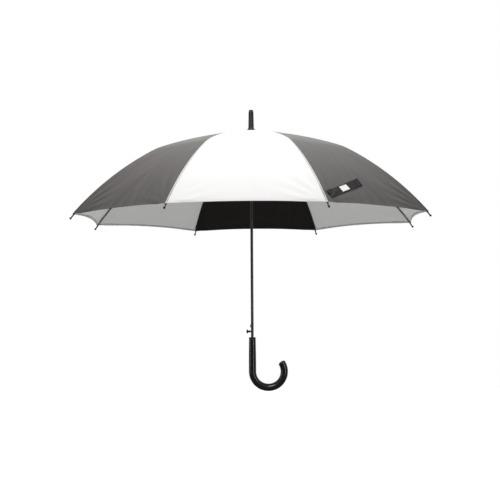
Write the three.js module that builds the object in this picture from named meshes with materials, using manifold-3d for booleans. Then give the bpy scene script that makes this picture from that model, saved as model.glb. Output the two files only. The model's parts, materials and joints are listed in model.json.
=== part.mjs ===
// Automatic stick umbrella with a crook handle, eight folding ribs and a two-tone canopy.
// Millimetres, +Z up. The origin is on the shaft axis in the middle of the hand grip. Rest pose: open.
import * as THREE from "three";
import { mergeVertices } from "three/addons/utils/BufferGeometryUtils.js";
import Module from "manifold-3d";

// Number of ribs, and how far two faces that must not touch stay apart.
const RIB_COUNT = 8;
const GAP = 0.3;

// Crook handle: a tapered grip and a hook that bends towards +X.
const GRIP_TOP_Z = 49;
const GRIP_TOP_RADIUS = 9.8;
const GRIP_RADIUS = 10.65;
const HOOK_RADIUS = 45.4;
const HOOK_CENTRE_Z = -44.1;
const HOOK_ARC_DEG = 212;
const GRIP_BORE_DEPTH = 60;
const COLLAR_HEIGHT = 4;
const COLLAR_RADIUS = 10.3;

// Shaft tube, and the button and catch that are set in its -X side.
const SHAFT_RADIUS = 4;
const SHAFT_WALL = 0.7;
const BUTTON_ABOVE_GRIP = 21;
const BUTTON_TRAVEL = 1.7;
const BUTTON_HEAD_RADIUS = 5.5;
const BUTTON_HEAD_THICKNESS = 4;
const BUTTON_REACH = 13;
const BUTTON_STEM_RADIUS = 2.4;
const CATCH_ABOVE_GRIP = 38;
const CATCH_HEIGHT = 10;
const CATCH_REACH = 3;
const CATCH_WIDTH = 2.2;
const LEAF_THICKNESS = 0.6;
const LEAF_WIDTH = 3.2;
const LEAF_BEHIND_WALL = 1;

// Ribs. Chords run hinge to joint and joint to tip, angles are below the horizontal when open.
const INNER_CHORD = 276.9;
const INNER_OPEN_DEG = 12.8;
const INNER_SHUT_DEG = 88.2;
const INNER_BOW = 8.5;
const OUTER_CHORD = 313;
const OUTER_OPEN_DEG = 38.8;
const OUTER_BOW = 15;
const RIB_WIDTH = 2.8;
const RIB_HEIGHT = 3.2;
const RIB_WEB = 1;
const ROD_RADIUS = 1.3;
const HINGE_CIRCLE = 8;
const EYE_RADIUS = 1.9;
const JOINT_RADIUS = 2.4;
const JOINT_PIN_RADIUS = 0.8;
const CHEEK_THICKNESS = 1;
const FORK_LENGTH = 12;

// Stretchers, hung on a lug behind each rib joint.
const STRETCHER_OPEN_DEG = 16.3896;
const LUG_BACK = 8;
const LUG_DROP = 5;
const LUG_RADIUS = 1.5;
const LUG_PIN_RADIUS = 0.6;
const STRETCHER_WIDTH = 3.6;
const STRETCHER_HEIGHT = 3;
const STRETCHER_WALL = 0.8;
const WIRE_RADIUS = 0.45;

// Tip caps on the rods' ends.
const TIP_LENGTH = 18;
const ROD_IN_TIP = 9;
const TIP_SLEEVE_RADIUS = 2.2;
const TIP_BALL_RADIUS = 3.2;

// Runner: a slotted crown over a sleeve.
const RUNNER_CIRCLE = 12;
const CROWN_RADIUS = 14.5;
const CROWN_ABOVE = 5;
const CROWN_BELOW = 5;
const SLEEVE_LENGTH = 28;
const SLEEVE_CLEARANCE = 0.4;
const SLEEVE_WALL = 2.4;
const CATCH_ABOVE_SLEEVE_END = 8;

// Notch at the top of the shaft, with the opening spring's seat under it.
const NOTCH_RADIUS = 11.5;
const NOTCH_ABOVE = 2.2;
const NOTCH_BELOW = 9;
const SEAT_HEIGHT = 4;
const SPRING_CLEARANCE = 1;
const SPRING_WIRE = 0.6;
const SPRING_TURNS = 14;

// Canopy: cloth over the ribs, cut back in a curve between the tips.
const CLOTH_THICKNESS = 1.2;
const CLOTH_ABOVE_RIB = 4.4;
const CLOTH_START_RADIUS = 12.5;
const CORNER_BEFORE_TIP = 0.5;
const HEM_CURVE = 13;
const CLOTH_SAG = 7;
const SEAM_GAP = 0.8;

// Crown parts above the cloth.
const WASHER_RADIUS = 13.5;
const WASHER_THICKNESS = 0.8;
const ROSETTE_RADIUS = 14.5;
const ROSETTE_HEIGHT = 4;
const FERRULE_LENGTH = 51;
const FERRULE_ROOF = 6;
const FERRULE_BASE_RADIUS = 9;
const FERRULE_TOP_RADIUS = 6.9;
const CAP_RADIUS = 6.1;
const CAP_HEIGHT = 4;

// Closing strap on one dark panel: distance along the seam, distance from the panel's middle, turn.
const STRAP_LENGTH = 180;
const STRAP_WIDTH = 24.5;
const STRAP_THICKNESS = 1.2;
const STRAP_ABOVE_HEM = 30;
const STRAP_FROM_SEAM = 16;
const STRAP_OFF_CLOTH = 0.5;
const STRAP_TURN_DEG = 22;
const STRAP_PANEL = 7;
const PATCH_LENGTH = 26;
const LABEL_LENGTH = 42;
const LABEL_START = 68;
const LABEL_THICKNESS = 0.5;
const PATCH_THICKNESS = 0.7;

const wasm = await Module();
wasm.setup();

const umbrella = new THREE.Group();
const radians = THREE.MathUtils.degToRad;

const STEEL = { color: 0x3b3c38, roughness: 0.35, metalness: 0.9 };
const BRIGHT_STEEL = { color: 0xa9a9a6, roughness: 0.3, metalness: 1 };
const FIBREGLASS = { color: 0x1c1c1d, roughness: 0.45, metalness: 0 };
const BLACK_PLASTIC = { color: 0x161617, roughness: 0.25, metalness: 0 };
const WHITE_CLOTH = { color: 0xf3f2ef, roughness: 0.8, metalness: 0 };
const DARK_CLOTH = { color: 0x5b5653, roughness: 0.7, metalness: 0 };

function add(name, geometry, finish, parent = umbrella) {
  const mesh = new THREE.Mesh(geometry, new THREE.MeshStandardMaterial(finish));
  mesh.name = name;
  parent.add(mesh);
  return mesh;
}

// Solids and booleans.

function solid(geometry) {
  const plain = geometry.index ? geometry.toNonIndexed() : geometry.clone();
  plain.deleteAttribute("normal");
  plain.deleteAttribute("uv");
  const merged = mergeVertices(plain, 1e-4);
  const mesh = new wasm.Mesh({
    numProp: 3,
    vertProperties: merged.attributes.position.array,
    triVerts: new Uint32Array(merged.index.array),
  });
  return new wasm.Manifold(mesh);
}

function join(...geometries) {
  const joined = geometries.map(solid).reduce((a, b) => a.add(b));
  return toGeometry(joined);
}

function cut(geometry, ...tools) {
  const left = tools.map(solid).reduce((a, b) => a.subtract(b), solid(geometry));
  return toGeometry(left);
}

function toGeometry(manifold) {
  const mesh = manifold.getMesh();
  const geometry = new THREE.BufferGeometry();
  geometry.setAttribute("position", new THREE.BufferAttribute(mesh.vertProperties, 3));
  geometry.setIndex(new THREE.BufferAttribute(mesh.triVerts, 1));
  geometry.computeVertexNormals();
  return geometry;
}

// Round shapes about the shaft axis. A profile is a list of [radius, z], closed on itself.

function turned(profile, sides = 24) {
  const points = [...profile, profile[0]].map(([r, z]) => new THREE.Vector2(r, z));
  return new THREE.LatheGeometry(points, sides).rotateX(Math.PI / 2);
}

function sleeve(inner, outer, low, high, sides = 24) {
  return turned([[inner, low], [outer, low], [outer, high], [inner, high]], sides);
}

function disc(radius, low, high, sides = 24) {
  const geometry = new THREE.CylinderGeometry(radius, radius, high - low, sides);
  return geometry.rotateX(Math.PI / 2).translate(0, 0, (low + high) / 2);
}

function ring(radius, wire, z) {
  return new THREE.TorusGeometry(radius, wire, 6, 32).translate(0, 0, z);
}

function block(x, y, z, [width, depth, height]) {
  return new THREE.BoxGeometry(width, depth, height).translate(x, y, z);
}

// Radial slots for all ribs, from a radius outwards.
function slots(from, to, width, low, high) {
  const size = [to - from, width, high - low];
  return ribAngles().map((angle) =>
    block((from + to) / 2, 0, (low + high) / 2, size).rotateZ(angle),
  );
}

function ribAngles() {
  return Array.from({ length: RIB_COUNT }, (_, i) => ((i + 0.5) * 2 * Math.PI) / RIB_COUNT);
}

// Flat shapes in a rib's own plane: x is the distance from the shaft axis and y is the height.

function arc(from, to, bow, steps) {
  const chord = to.clone().sub(from);
  const length = chord.length();
  const along = chord.clone().normalize();
  const out = new THREE.Vector2(-along.y, along.x);
  const radius = (length * length / 4 + bow * bow) / (2 * bow);
  const half = Math.asin(length / 2 / radius);
  const centre = from.clone().add(to).multiplyScalar(0.5).addScaledVector(out, bow - radius);
  return Array.from({ length: steps + 1 }, (_, i) => {
    const turn = half * (2 * i / steps - 1);
    return centre
      .clone()
      .addScaledVector(along, radius * Math.sin(turn))
      .addScaledVector(out, radius * Math.cos(turn));
  });
}

function normalAt(line, i) {
  const before = line[Math.max(i - 1, 0)];
  const after = line[Math.min(i + 1, line.length - 1)];
  const along = after.clone().sub(before).normalize();
  return new THREE.Vector2(-along.y, along.x);
}

function offset(line, distance) {
  return line.map((point, i) => point.clone().addScaledVector(normalAt(line, i), distance));
}

// A bar of the given heights above and below a line, centred on the rib's plane.
function bar(line, above, below, width, shift = 0) {
  const outline = [...offset(line, above), ...offset(line, -below).reverse()];
  const flat = new THREE.ExtrudeGeometry(new THREE.Shape(outline), {
    depth: width,
    bevelEnabled: false,
  });
  return flat.translate(0, 0, shift - width / 2).rotateX(Math.PI / 2);
}

function pin(centre, radius, width, shift = 0, sides = 12) {
  const geometry = new THREE.CylinderGeometry(radius, radius, width, sides);
  return geometry.translate(centre.x, -shift, centre.y);
}

function polar(from, degreesBelow, distance) {
  const angle = radians(degreesBelow);
  return from.clone().add(
    new THREE.Vector2(Math.cos(angle) * distance, -Math.sin(angle) * distance),
  );
}

// Where the stretcher's pivot is on a rib that hangs at the given angle from the notch hinge.
function stretcherPivot(hinge, degreesBelow) {
  const back = polar(hinge, degreesBelow, INNER_CHORD - LUG_BACK);
  return polar(back, degreesBelow + 90, LUG_DROP);
}

// The open angle sets how long a stretcher is.
const openPivot = stretcherPivot(new THREE.Vector2(HINGE_CIRCLE, 0), INNER_OPEN_DEG);
const STRETCHER_LENGTH = (openPivot.x - RUNNER_CIRCLE) / Math.cos(radians(STRETCHER_OPEN_DEG));
const LUG_THICKNESS = STRETCHER_WIDTH - 2 * STRETCHER_WALL - 2 * GAP;

// Depth of the runner's circle below a stretcher pivot.
function runnerDrop(pivot) {
  return Math.sqrt(STRETCHER_LENGTH ** 2 - (pivot.x - RUNNER_CIRCLE) ** 2);
}

// Heights, from the catch upwards: the shut frame sets how tall the shaft is.
const BUTTON_Z = GRIP_TOP_Z + BUTTON_ABOVE_GRIP;
const CATCH_Z = GRIP_TOP_Z + CATCH_ABOVE_GRIP;
const RUNNER_SHUT_Z = CATCH_Z - CATCH_ABOVE_SLEEVE_END + SLEEVE_LENGTH;
const shutPivot = stretcherPivot(new THREE.Vector2(HINGE_CIRCLE, 0), INNER_SHUT_DEG);
const NOTCH_Z = RUNNER_SHUT_Z + runnerDrop(shutPivot) - shutPivot.y;
const NOTCH_HINGE = new THREE.Vector2(HINGE_CIRCLE, NOTCH_Z);
const RIB_JOINT = polar(NOTCH_HINGE, INNER_OPEN_DEG, INNER_CHORD);
const ROD_END = polar(RIB_JOINT, OUTER_OPEN_DEG, OUTER_CHORD);
const LUG_PIVOT = stretcherPivot(NOTCH_HINGE, INNER_OPEN_DEG);
const RUNNER_Z = LUG_PIVOT.y - runnerDrop(LUG_PIVOT);

const innerLine = arc(NOTCH_HINGE, RIB_JOINT, INNER_BOW, 10);
const outerLine = arc(RIB_JOINT, ROD_END, OUTER_BOW, 12);

// The cloth's outer face over a rib, from the crown to the corner at the tip.
function seamLine() {
  const whole = [...innerLine, ...outerLine.slice(1)];
  const seam = offset(whole, CLOTH_ABOVE_RIB);
  const last = polar(ROD_END, OUTER_OPEN_DEG, -CORNER_BEFORE_TIP).x;
  const inside = seam.filter((p) => p.x > CLOTH_START_RADIUS && p.x < last);
  return [atRadius(seam, CLOTH_START_RADIUS), ...inside, atRadius(seam, last)];
}

function atRadius(line, radius) {
  const i = line.findIndex((p, k) => k > 0 && p.x >= radius);
  const [a, b] = [line[i - 1], line[i]];
  return a.clone().lerp(b, (radius - a.x) / (b.x - a.x));
}

const seam = seamLine();
const seamLengths = seam.map(() => 0);
for (let i = 1; i < seam.length; i += 1) {
  seamLengths[i] = seamLengths[i - 1] + seam[i].distanceTo(seam[i - 1]);
}
const SEAM_LENGTH = seamLengths[seamLengths.length - 1];
const CLOTH_TOP_Z = seam[0].y;
// How far down the seam the rib joint is: the cloth has an edge there, because the rib bends there.
const jointDistances = seam.map((point) => point.distanceTo(RIB_JOINT));
const JOINT_DOWN = seamLengths[jointDistances.indexOf(Math.min(...jointDistances))];

function seamPoint(down) {
  const i = Math.max(1, seamLengths.findIndex((length) => length >= down - 1e-6));
  const share = (down - seamLengths[i - 1]) / (seamLengths[i] - seamLengths[i - 1]);
  return seam[i - 1].clone().lerp(seam[i], share);
}

// A panel whose middle is at azimuth 0. down runs along the seam, across runs from -1 to 1.

const HALF_PANEL = Math.PI / RIB_COUNT;

function halfWidth(down) {
  return seamPoint(down).x * Math.sin(HALF_PANEL) - SEAM_GAP;
}

function clothPoint(down, across, lift) {
  const step = 2;
  const here = seamPoint(down);
  const above = seamPoint(Math.max(down - step, 0));
  const below = seamPoint(Math.min(down + step, SEAM_LENGTH));
  const along = below.clone().sub(above).normalize();
  const normal = new THREE.Vector2(-along.y, along.x);
  const half = halfWidth(down);
  const sag = CLOTH_SAG * (down / SEAM_LENGTH) ** 2 * (1 - across * across);
  const shift = lift - sag;
  const middle = here.x * Math.cos(HALF_PANEL);
  const x = middle + normal.x * shift;
  return new THREE.Vector3(x, half * across, here.y + normal.y * shift);
}

// A closed sheet from a grid of [down, across] places, between two lifts off the cloth's face.
function sheet(rows, columns, place, low, high) {
  const points = [];
  for (const lift of [low, high]) {
    for (let i = 0; i <= rows; i += 1) {
      for (let j = 0; j <= columns; j += 1) {
        points.push(...clothPoint(...place(i / rows, j / columns), lift).toArray());
      }
    }
  }
  const layer = (rows + 1) * (columns + 1);
  const at = (i, j, top) => top * layer + i * (columns + 1) + j;
  const faces = [];
  const quad = (a, b, c, d) => faces.push(a, b, c, a, c, d);
  for (let i = 0; i < rows; i += 1) {
    for (let j = 0; j < columns; j += 1) {
      quad(at(i, j, 1), at(i + 1, j, 1), at(i + 1, j + 1, 1), at(i, j + 1, 1));
      quad(at(i, j, 0), at(i, j + 1, 0), at(i + 1, j + 1, 0), at(i + 1, j, 0));
    }
    quad(at(i, 0, 0), at(i + 1, 0, 0), at(i + 1, 0, 1), at(i, 0, 1));
    quad(at(i, columns, 1), at(i + 1, columns, 1), at(i + 1, columns, 0), at(i, columns, 0));
  }
  for (let j = 0; j < columns; j += 1) {
    quad(at(0, j, 1), at(0, j + 1, 1), at(0, j + 1, 0), at(0, j, 0));
    quad(at(rows, j, 0), at(rows, j + 1, 0), at(rows, j + 1, 1), at(rows, j, 1));
  }
  const geometry = new THREE.BufferGeometry();
  geometry.setAttribute("position", new THREE.Float32BufferAttribute(points, 3));
  geometry.setIndex(faces);
  return geometry;
}

// Handle.

function crookHandle() {
  const arcPoints = Array.from({ length: 29 }, (_, i) => {
    const angle = Math.PI + radians((HOOK_ARC_DEG * i) / 28);
    const x = HOOK_RADIUS * (1 + Math.cos(angle));
    return new THREE.Vector3(x, 0, HOOK_CENTRE_Z + HOOK_RADIUS * Math.sin(angle));
  });
  const section = new THREE.Shape().absarc(0, 0, GRIP_RADIUS, 0, 2 * Math.PI);
  const hook = new THREE.ExtrudeGeometry(section, {
    steps: 28,
    curveSegments: 10,
    extrudePath: new THREE.CatmullRomCurve3(arcPoints),
  });
  const end = arcPoints[arcPoints.length - 1];
  const dome = new THREE.SphereGeometry(GRIP_RADIUS, 20, 10)
    .scale(1, 1, 0.5)
    .rotateY(radians(HOOK_ARC_DEG - 180))
    .translate(end.x, end.y, end.z);
  const overlap = 0.5;
  const grip = turned([
    [0, HOOK_CENTRE_Z - overlap],
    [GRIP_RADIUS, HOOK_CENTRE_Z - overlap],
    [GRIP_RADIUS, 0],
    [GRIP_TOP_RADIUS, GRIP_TOP_Z],
    [0, GRIP_TOP_Z],
  ]);
  const bore = disc(SHAFT_RADIUS + GAP, GRIP_TOP_Z - GRIP_BORE_DEPTH, GRIP_TOP_Z + 1);
  return cut(join(grip, hook, dome), bore);
}

function handleCollar() {
  const low = GRIP_TOP_Z + GAP;
  return turned([
    [SHAFT_RADIUS + GAP, low],
    [COLLAR_RADIUS, low],
    [COLLAR_RADIUS, low + COLLAR_HEIGHT * 0.6],
    [COLLAR_RADIUS - 1.2, low + COLLAR_HEIGHT],
    [SHAFT_RADIUS + GAP, low + COLLAR_HEIGHT],
  ]);
}

// Shaft, button and catch.

function shaft() {
  const low = GRIP_TOP_Z - GRIP_BORE_DEPTH + GAP;
  const tube = sleeve(SHAFT_RADIUS - SHAFT_WALL, SHAFT_RADIUS, low, SHAFT_TOP_Z, 32);
  const buttonHole = pinAlongX(BUTTON_STEM_RADIUS + GAP, -SHAFT_RADIUS - 1, -1, BUTTON_Z);
  const slot = [SHAFT_RADIUS, CATCH_WIDTH + 2 * GAP, CATCH_HEIGHT + 2];
  return cut(tube, buttonHole, block(-SHAFT_RADIUS, 0, CATCH_Z, slot));
}

function pinAlongX(radius, from, to, z, sides = 24) {
  const geometry = new THREE.CylinderGeometry(radius, radius, to - from, sides);
  return geometry.rotateZ(Math.PI / 2).translate((from + to) / 2, 0, z);
}

// The leaf lies just inside the tube's wall, so that the catch can draw back into the tube.
const LEAF_X = -(SHAFT_RADIUS - SHAFT_WALL - LEAF_BEHIND_WALL - LEAF_THICKNESS / 2);

function catchLeaf() {
  const low = GRIP_TOP_Z - 1;
  const high = CATCH_Z + CATCH_HEIGHT / 2;
  const leaf = block(LEAF_X, 0, (low + high) / 2, [LEAF_THICKNESS, LEAF_WIDTH, high - low]);
  const tip = -(SHAFT_RADIUS + CATCH_REACH);
  const outline = new THREE.Shape([
    new THREE.Vector2(LEAF_X, -CATCH_HEIGHT / 2),
    new THREE.Vector2(LEAF_X, CATCH_HEIGHT / 2),
    new THREE.Vector2(tip + 2.6, CATCH_HEIGHT / 2),
    new THREE.Vector2(tip, -CATCH_HEIGHT / 2 + 1),
    new THREE.Vector2(tip, -CATCH_HEIGHT / 2),
  ]);
  const nose = new THREE.ExtrudeGeometry(outline, { depth: CATCH_WIDTH, bevelEnabled: false })
    .translate(0, 0, -CATCH_WIDTH / 2)
    .rotateX(Math.PI / 2)
    .translate(0, 0, CATCH_Z);
  return join(leaf, nose);
}

function pushButton() {
  const end = -(SHAFT_RADIUS + BUTTON_REACH);
  const inside = LEAF_X - LEAF_THICKNESS / 2 - GAP;
  const headBack = end + BUTTON_HEAD_THICKNESS;
  const profile = [
    [0, end],
    [BUTTON_HEAD_RADIUS * 0.6, end + 0.4],
    [BUTTON_HEAD_RADIUS, end + 1.8],
    [BUTTON_HEAD_RADIUS, headBack - 0.8],
    [BUTTON_STEM_RADIUS + 1, headBack],
    [BUTTON_STEM_RADIUS, headBack + 1],
    [BUTTON_STEM_RADIUS, inside],
    [0, inside],
  ];
  return turned(profile, 28).rotateY(Math.PI / 2).translate(0, 0, BUTTON_Z);
}

// Notch, runner and opening spring.

const SLEEVE_BORE = SHAFT_RADIUS + SLEEVE_CLEARANCE;
const SLEEVE_RADIUS = SLEEVE_BORE + SLEEVE_WALL;
const SPRING_RADIUS = SHAFT_RADIUS + SPRING_CLEARANCE + SPRING_WIRE;

function notch() {
  const low = NOTCH_Z - NOTCH_BELOW;
  const high = NOTCH_Z + NOTCH_ABOVE;
  const body = sleeve(SHAFT_RADIUS + GAP, NOTCH_RADIUS, low, high);
  const room = RIB_WIDTH + 2 * GAP;
  const ways = slots(HINGE_CIRCLE - EYE_RADIUS - GAP, NOTCH_RADIUS + 1, room, low - 1, high + 1);
  const groove = sleeve(HINGE_CIRCLE - 0.8, HINGE_CIRCLE + 0.8, low - 1, NOTCH_Z + 0.8);
  return cut(body, ...ways, groove);
}

function springSeat() {
  const high = NOTCH_Z - NOTCH_BELOW - GAP;
  const outer = SPRING_RADIUS + SPRING_WIRE + 0.6;
  return sleeve(SHAFT_RADIUS + GAP, outer, high - SEAT_HEIGHT, high);
}

function runner() {
  const top = RUNNER_Z + CROWN_ABOVE;
  const bottom = RUNNER_Z - SLEEVE_LENGTH;
  const body = turned([
    [SLEEVE_BORE, bottom],
    [SLEEVE_RADIUS + 0.8, bottom],
    [SLEEVE_RADIUS + 0.8, bottom + 2],
    [SLEEVE_RADIUS, bottom + 3],
    [SLEEVE_RADIUS, RUNNER_Z - CROWN_BELOW - 3],
    [CROWN_RADIUS, RUNNER_Z - CROWN_BELOW],
    [CROWN_RADIUS, top],
    [SLEEVE_BORE, top],
  ]);
  const room = STRETCHER_WIDTH + 2 * GAP;
  const inner = RUNNER_CIRCLE - STRETCHER_HEIGHT;
  const ways = slots(inner, CROWN_RADIUS + 1, room, RUNNER_Z - CROWN_BELOW - 4, top + 1);
  const groove = sleeve(RUNNER_CIRCLE - 0.8, RUNNER_CIRCLE + 0.8, RUNNER_Z - 0.8, top + 1);
  const windowX = -(SLEEVE_BORE + SLEEVE_RADIUS) / 2;
  const windowZ = bottom + CATCH_ABOVE_SLEEVE_END;
  const window = [SLEEVE_WALL + 2, CATCH_WIDTH + 4 * GAP, CATCH_HEIGHT + 3];
  return cut(body, ...ways, groove, block(windowX, 0, windowZ, window));
}

function openingSpring() {
  const low = RUNNER_Z + CROWN_ABOVE + GAP + SPRING_WIRE;
  const high = NOTCH_Z - NOTCH_BELOW - SEAT_HEIGHT - 2 * GAP - SPRING_WIRE;
  const steps = SPRING_TURNS * 9;
  const points = Array.from({ length: steps + 1 }, (_, i) => {
    const turn = (2 * Math.PI * SPRING_TURNS * i) / steps;
    const x = SPRING_RADIUS * Math.cos(turn);
    const y = SPRING_RADIUS * Math.sin(turn);
    return new THREE.Vector3(x, y, low + ((high - low) * i) / steps);
  });
  const section = new THREE.Shape().absarc(0, 0, SPRING_WIRE, 0, 2 * Math.PI);
  return new THREE.ExtrudeGeometry(section, {
    steps,
    curveSegments: 3,
    extrudePath: new THREE.CatmullRomCurve3(points),
  });
}

// Ribs and stretchers, drawn in the plane of azimuth 0 and turned to their place.

function innerRib() {
  const body = bar(innerLine, RIB_HEIGHT / 2, RIB_HEIGHT / 2, RIB_WIDTH);
  const channel = bar(innerLine.slice(1, -1), RIB_HEIGHT / 2 - RIB_WEB, RIB_HEIGHT, RIB_WIDTH / 2);
  const reach = INNER_CHORD - LUG_BACK - 1;
  const root = polar(NOTCH_HINGE, INNER_OPEN_DEG, reach);
  const lug = bar([root, LUG_PIVOT], LUG_RADIUS, LUG_RADIUS, LUG_THICKNESS);
  const joined = join(
    cut(body, channel),
    pin(NOTCH_HINGE, EYE_RADIUS, RIB_WIDTH),
    pin(RIB_JOINT, JOINT_RADIUS, RIB_WIDTH),
    pin(RIB_JOINT, JOINT_PIN_RADIUS, RIB_WIDTH + 2 * (GAP + CHEEK_THICKNESS) + 0.6),
    lug,
    pin(LUG_PIVOT, LUG_RADIUS, LUG_THICKNESS),
    pin(LUG_PIVOT, LUG_PIN_RADIUS, STRETCHER_WIDTH + 0.4),
  );
  return cut(joined, pin(NOTCH_HINGE, WIRE_RADIUS + GAP, RIB_WIDTH + 1));
}

function outerRib() {
  const start = outerLine[0];
  const ahead = outerLine[1].clone().sub(start).normalize();
  const at = (distance) => start.clone().addScaledVector(ahead, distance);
  const shift = (RIB_WIDTH + CHEEK_THICKNESS) / 2 + GAP;
  const outside = RIB_WIDTH + 2 * (GAP + CHEEK_THICKNESS);
  const cheeks = [shift, -shift].flatMap((side) => [
    pin(start, JOINT_RADIUS, CHEEK_THICKNESS, side),
    bar([start, at(FORK_LENGTH - 2)], 1.8, 1.8, CHEEK_THICKNESS, side),
  ]);
  const bridge = bar([at(JOINT_RADIUS + 2), at(FORK_LENGTH)], 1.8, 1.8, outside);
  const socket = bar([at(FORK_LENGTH - 1), at(FORK_LENGTH + 8)], 1.9, 1.9, 3.8);
  const section = new THREE.Shape().absarc(0, 0, ROD_RADIUS, 0, 2 * Math.PI);
  const whole = outerLine.map((p) => new THREE.Vector3(p.x, 0, p.y));
  const path = new THREE.CatmullRomCurve3([
    new THREE.Vector3(at(FORK_LENGTH - 1).x, 0, at(FORK_LENGTH - 1).y),
    ...whole.slice(1),
  ]);
  const rod = new THREE.ExtrudeGeometry(section, {
    steps: 14,
    curveSegments: 4,
    extrudePath: path,
  });
  const hole = pin(start, JOINT_PIN_RADIUS + GAP, outside + 1);
  return cut(join(...cheeks, bridge, socket, rod), hole);
}

function tipCap() {
  const last = outerLine[outerLine.length - 1];
  const ahead = last.clone().sub(outerLine[outerLine.length - 2]).normalize();
  const bore = ROD_RADIUS + GAP;
  const ball = Array.from({ length: 6 }, (_, i) => {
    const turn = -1.05 + ((Math.PI / 2 + 1.05) * i) / 5;
    const height = TIP_LENGTH - TIP_BALL_RADIUS + TIP_BALL_RADIUS * Math.sin(turn);
    return [i === 5 ? 0 : TIP_BALL_RADIUS * Math.cos(turn), height];
  });
  const profile = [
    [0, ROD_IN_TIP + GAP],
    [bore, ROD_IN_TIP + GAP],
    [bore, 0],
    [TIP_SLEEVE_RADIUS - 0.3, 0],
    [TIP_SLEEVE_RADIUS, 0.8],
    [TIP_SLEEVE_RADIUS * 0.9, ROD_IN_TIP + 1],
    ...ball,
  ];
  const tilt = Math.PI / 2 + Math.atan2(-ahead.y, ahead.x);
  const foot = last.clone().addScaledVector(ahead, -ROD_IN_TIP);
  return turned(profile, 12).rotateY(tilt).translate(foot.x, 0, foot.y);
}

function stretcher() {
  const away = new THREE.Vector2(RUNNER_CIRCLE, RUNNER_Z).sub(LUG_PIVOT).normalize();
  const at = (distance) => LUG_PIVOT.clone().addScaledVector(away, distance);
  const half = STRETCHER_HEIGHT / 2;
  const stop = STRETCHER_LENGTH - WIRE_RADIUS - 1;
  // The line runs inwards, so its upper side is the offset below it.
  const body = bar([at(0), at(stop)], half, half, STRETCHER_WIDTH);
  const eye = pin(LUG_PIVOT, half, STRETCHER_WIDTH);
  const inside = STRETCHER_WIDTH - 2 * STRETCHER_WALL;
  const channel = bar([at(-half - 1), at(stop - 14)], half - STRETCHER_WALL, half + 1, inside);
  const fork = bar([at(-half - 1), at(3)], half + 1, half + 1, inside);
  return cut(join(body, eye), channel, fork, pin(LUG_PIVOT, LUG_PIN_RADIUS + GAP / 2, STRETCHER_WIDTH + 1));
}

// Heights of the parts above the cloth.
const WASHER_Z = CLOTH_TOP_Z + GAP + 0.4;
const ROSETTE_Z = WASHER_Z + WASHER_THICKNESS + GAP;
const FERRULE_Z = ROSETTE_Z + ROSETTE_HEIGHT + GAP;
const CAP_Z = FERRULE_Z + FERRULE_LENGTH + GAP;
const SHAFT_TOP_Z = CAP_Z - FERRULE_ROOF;

function rosette() {
  const inner = SHAFT_RADIUS + GAP;
  return turned([
    [inner, ROSETTE_Z],
    [ROSETTE_RADIUS, ROSETTE_Z],
    [ROSETTE_RADIUS, ROSETTE_Z + 0.8],
    [FERRULE_BASE_RADIUS + 0.6, ROSETTE_Z + ROSETTE_HEIGHT],
    [inner, ROSETTE_Z + ROSETTE_HEIGHT],
  ]);
}

function ferrule() {
  const top = FERRULE_Z + FERRULE_LENGTH;
  const body = turned([
    [0, FERRULE_Z],
    [FERRULE_BASE_RADIUS, FERRULE_Z],
    [FERRULE_TOP_RADIUS, top],
    [0, top],
  ]);
  return cut(body, disc(SHAFT_RADIUS + GAP, FERRULE_Z - 1, SHAFT_TOP_Z + GAP));
}

function ferruleCap() {
  const top = CAP_Z + CAP_HEIGHT;
  return turned([[0, CAP_Z], [CAP_RADIUS, CAP_Z], [CAP_RADIUS, top - 1], [CAP_RADIUS - 1, top], [0, top]]);
}

// The middle of the strap's end by the rib, as a place on its panel.
const STRAP_DOWN_SEAM = SEAM_LENGTH - STRAP_ABOVE_HEM;
const STRAP_ACROSS = STRAP_FROM_SEAM - halfWidth(STRAP_DOWN_SEAM);

// A patch of the strap: lengths run along it from its end by the rib.
function strapPiece(from, to, low, high) {
  const turn = radians(STRAP_TURN_DEG);
  const place = (i, j) => {
    const along = from + (to - from) * j;
    const width = STRAP_WIDTH * (i - 0.5);
    const across = STRAP_ACROSS + along * Math.cos(turn) + width * Math.sin(turn);
    const down = STRAP_DOWN_SEAM - along * Math.sin(turn) + width * Math.cos(turn);
    return [down, across / halfWidth(down)];
  };
  return sheet(2, 6, place, low, high);
}

function panel() {
  const above = 5;
  const below = 7;
  const rows = above + below;
  const place = (i, j) => {
    const row = Math.round(i * rows);
    const across = 2 * j - 1;
    const hem = SEAM_LENGTH - HEM_CURVE * (1 - across * across);
    const down = row <= above
      ? (JOINT_DOWN * row) / above
      : JOINT_DOWN + ((hem - JOINT_DOWN) * (row - above)) / below;
    return [down, across];
  };
  return sheet(rows, 4, place, -CLOTH_THICKNESS, 0);
}

// Assembly.

add("crook_handle", crookHandle(), BLACK_PLASTIC);
add("handle_collar", handleCollar(), BLACK_PLASTIC);
add("shaft", shaft(), STEEL);
add("push_button", pushButton(), BLACK_PLASTIC);
add("catch_leaf", catchLeaf(), BRIGHT_STEEL);
add("notch", notch(), BLACK_PLASTIC);
add("notch_wire", ring(HINGE_CIRCLE, WIRE_RADIUS, NOTCH_Z), BRIGHT_STEEL);
add("spring_seat", springSeat(), BLACK_PLASTIC);
add("opening_spring", openingSpring(), BRIGHT_STEEL);
add("runner", runner(), BLACK_PLASTIC);
add("runner_wire", ring(RUNNER_CIRCLE, WIRE_RADIUS, RUNNER_Z), BRIGHT_STEEL);
add("crown_washer", sleeve(SHAFT_RADIUS + GAP, WASHER_RADIUS, WASHER_Z,
  WASHER_Z + WASHER_THICKNESS), DARK_CLOTH);
add("rosette", rosette(), BLACK_PLASTIC);
add("ferrule", ferrule(), BLACK_PLASTIC);
add("ferrule_cap", ferruleCap(), BLACK_PLASTIC);

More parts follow.
